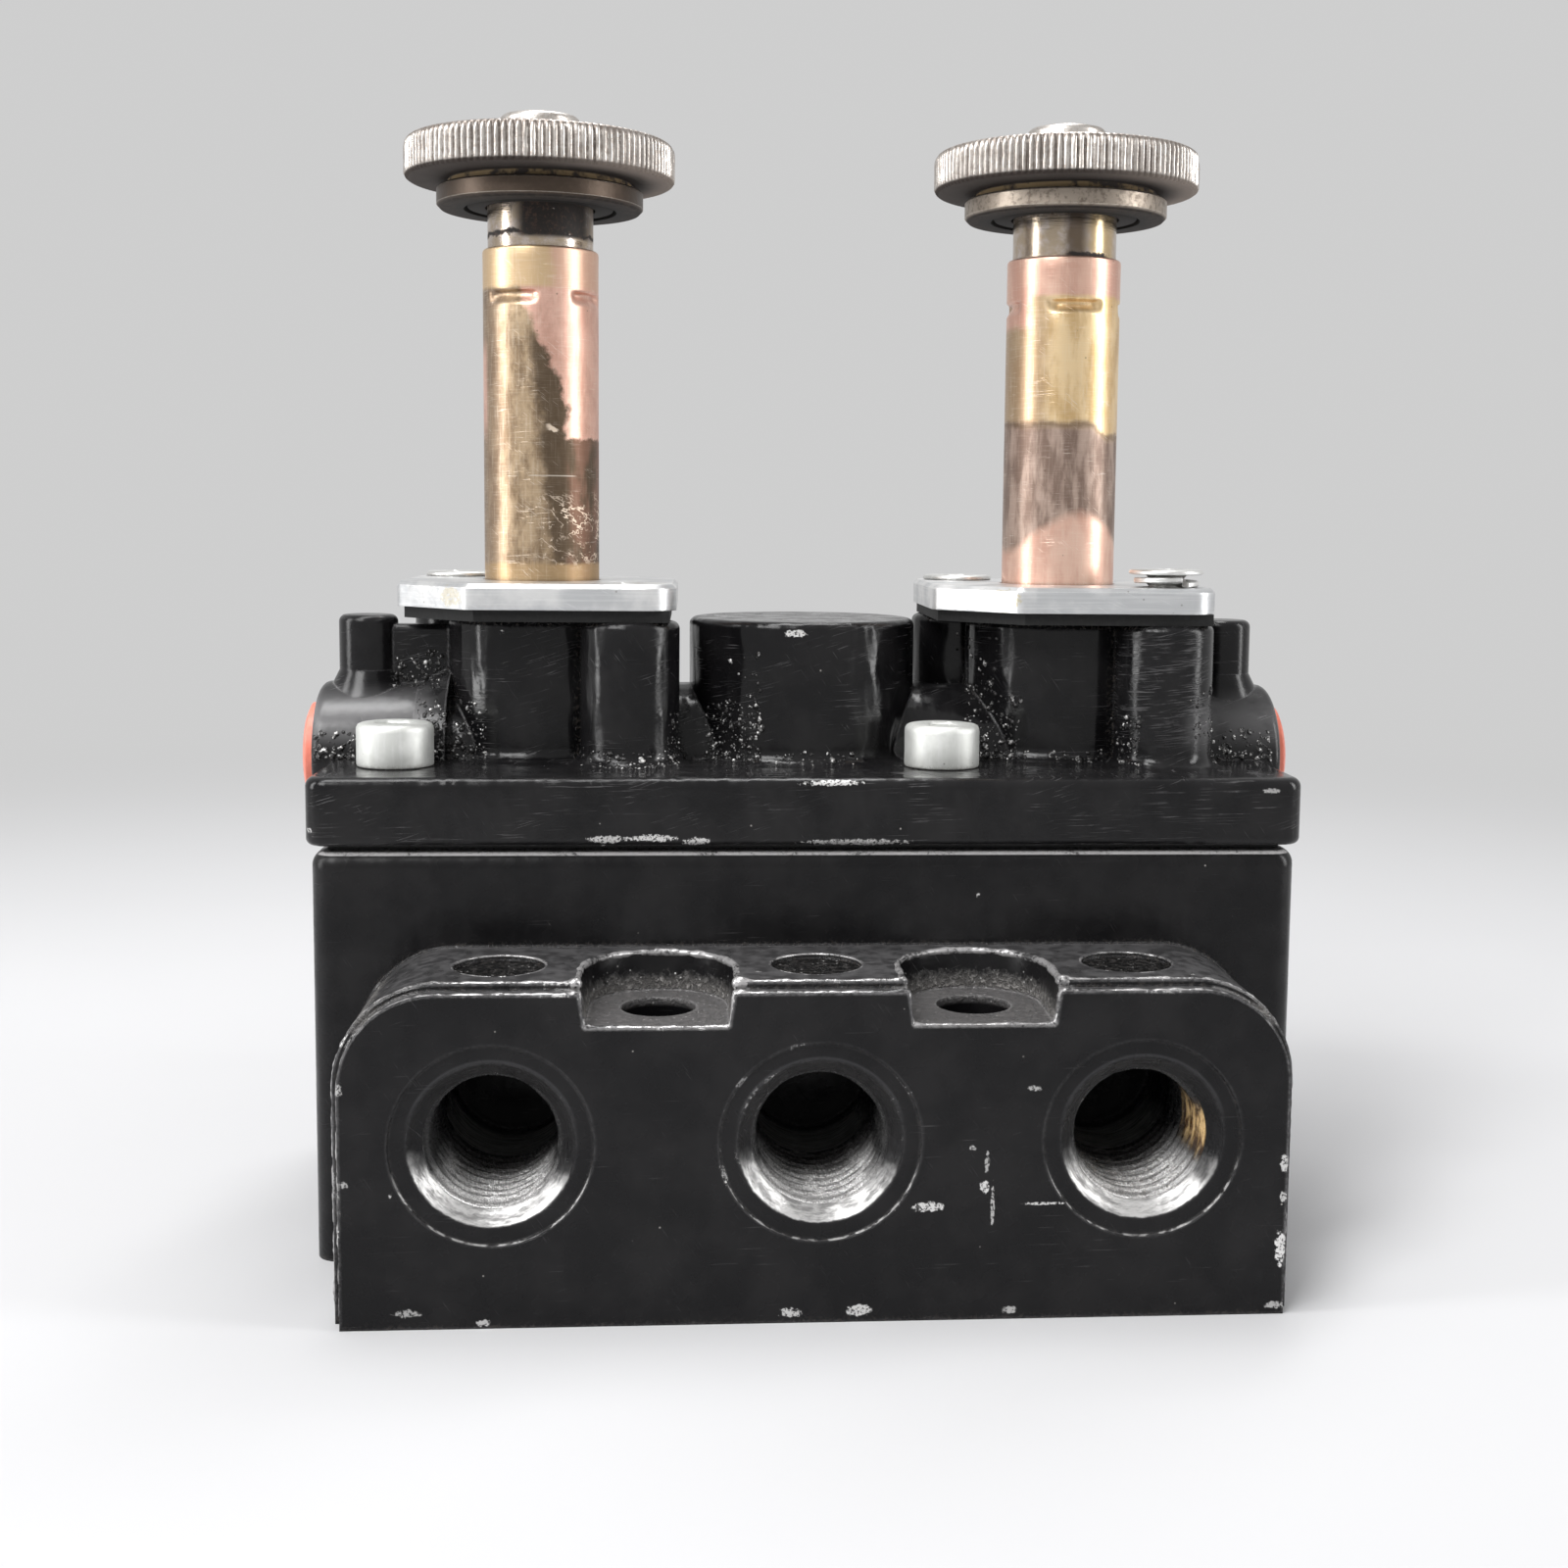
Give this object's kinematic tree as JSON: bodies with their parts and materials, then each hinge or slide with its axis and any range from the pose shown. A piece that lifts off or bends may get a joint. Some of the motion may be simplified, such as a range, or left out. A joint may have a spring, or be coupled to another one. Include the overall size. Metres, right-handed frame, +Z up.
{
  "type": "solenoid air valve",
  "caption": "Black double-solenoid air valve on a side-ported sub-base, its brass armature tubes bare under knurled nuts, with red override buttons at the ends.",
  "frame": {"origin": "middle of the footprint, on the surface that the valve stands on", "axes": "+X along the spool from the left button to the right, +Y from the front ports to the rear ports, +Z up along the armature tubes"},
  "size_m": [0.0958, 0.07, 0.1043],
  "materials": {
    "black_enamel": "gloss",
    "black_enamel_casting": "gloss",
    "black_gasket": "matte",
    "zinc_cap_screw": "satin",
    "spool_aluminium": "satin",
    "nitrile_seal": "satin",
    "zinc_plate_screw": "satin",
    "piston_polymer": "satin",
    "plug_brass": "satin",
    "red_button": "satin",
    "spring_steel": "satin",
    "zinc_plate": "satin",
    "grey_gasket": "matte",
    "tube_brass_left": "satin",
    "tube_brass_right": "satin",
    "core_steel": "satin",
    "copper": "satin",
    "armature_steel": "satin",
    "pad_polymer": "matte",
    "nut_nickel": "satin",
    "washer_nickel": "satin"
  },
  "bodies": {
    "valve": {"sub_base": "black_enamel", "base_gasket": "black_gasket", "valve_body": "black_enamel_casting", "flange_cap_screws": "zinc_cap_screw", "clamp_plate_screws": "zinc_plate_screw", "flat_plate_screw": "zinc_plate_screw", "end_plug_seals": "nitrile_seal", "end_plug_left": "plug_brass", "end_plug_right": "plug_brass", "clamp_plate_left": "zinc_plate", "clamp_plate_right": "zinc_plate", "pilot_gasket_left": "grey_gasket", "pilot_gasket_right": "grey_gasket", "armature_tube_left": "tube_brass_left", "armature_tube_right": "tube_brass_right", "tube_seal_left": "nitrile_seal", "tube_seal_right": "nitrile_seal", "fixed_core_left": "core_steel", "fixed_core_right": "core_steel", "shading_ring_left": "copper", "shading_ring_right": "copper", "orifice_seat_left": "plug_brass", "orifice_seat_right": "plug_brass"},
    "spool": {"spool": "spool_aluminium", "spool_seals": "nitrile_seal", "piston_seals": "nitrile_seal", "pilot_piston_left": "piston_polymer", "pilot_piston_right": "piston_polymer"},
    "armature_left": {"armature_left": "armature_steel", "armature_pad_left": "pad_polymer", "armature_spring_left": "spring_steel"},
    "button_left": {"override_button_left": "red_button", "override_seal_left": "nitrile_seal", "override_clip_left": "spring_steel", "override_spring_left": "spring_steel"},
    "washer_left": {"nut_washer_left": "washer_nickel"},
    "nut_left": {"knurled_nut_left": "nut_nickel"},
    "armature_right": {"armature_right": "armature_steel", "armature_pad_right": "pad_polymer", "armature_spring_right": "spring_steel"},
    "button_right": {"override_button_right": "red_button", "override_seal_right": "nitrile_seal", "override_clip_right": "spring_steel", "override_spring_right": "spring_steel"},
    "washer_right": {"nut_washer_right": "washer_nickel"},
    "nut_right": {"knurled_nut_right": "nut_nickel"}
  },
  "joints": [
    {"name": "spool_slide", "type": "slide", "parent": "valve", "child": "spool", "axis": [1, 0, 0], "range_m": [0, 0.003]},
    {"name": "armature_lift_left", "type": "slide", "parent": "valve", "child": "armature_left", "axis": [0, 0, 1], "range_m": [0, 0.001], "stiffness_N_per_m": 200, "springref_m": -0.003, "deforming": ["armature_spring_left"]},
    {"name": "button_push_left", "type": "slide", "parent": "valve", "child": "button_left", "axis": [1, 0, 0], "range_m": [0, 0.0015], "stiffness_N_per_m": 150, "springref_m": -0.001, "deforming": ["override_spring_left"]},
    {"name": "nut_turn_left", "type": "hinge", "parent": "washer_left", "child": "nut_left", "pos_m": [-0.0253, 0, 0.0985], "axis": [0, 0, 1], "range_deg": [-432.5, 720.5]},
    {"name": "washer_rise_left", "type": "slide", "parent": "valve", "child": "washer_left", "axis": [0, 0, 1], "range_m": [-0.0012, 0.002]},
    {"name": "armature_lift_right", "type": "slide", "parent": "valve", "child": "armature_right", "axis": [0, 0, 1], "range_m": [0, 0.001], "stiffness_N_per_m": 200, "springref_m": -0.003, "deforming": ["armature_spring_right"]},
    {"name": "button_push_right", "type": "slide", "parent": "valve", "child": "button_right", "axis": [-1, 0, 0], "range_m": [0, 0.0015], "stiffness_N_per_m": 150, "springref_m": -0.001, "deforming": ["override_spring_right"]},
    {"name": "nut_turn_right", "type": "hinge", "parent": "washer_right", "child": "nut_right", "pos_m": [0.0253, 0, 0.0985], "axis": [0, 0, 1], "range_deg": [-432.5, 720.5]},
    {"name": "washer_rise_right", "type": "slide", "parent": "valve", "child": "washer_right", "axis": [0, 0, 1], "range_m": [-0.0012, 0.002]}
  ],
  "couplings": [
    {"joint": "nut_turn_left", "follows": "washer_rise_left", "rad_per_m": 6283.2},
    {"joint": "nut_turn_right", "follows": "washer_rise_right", "rad_per_m": 6283.2}
  ]
}
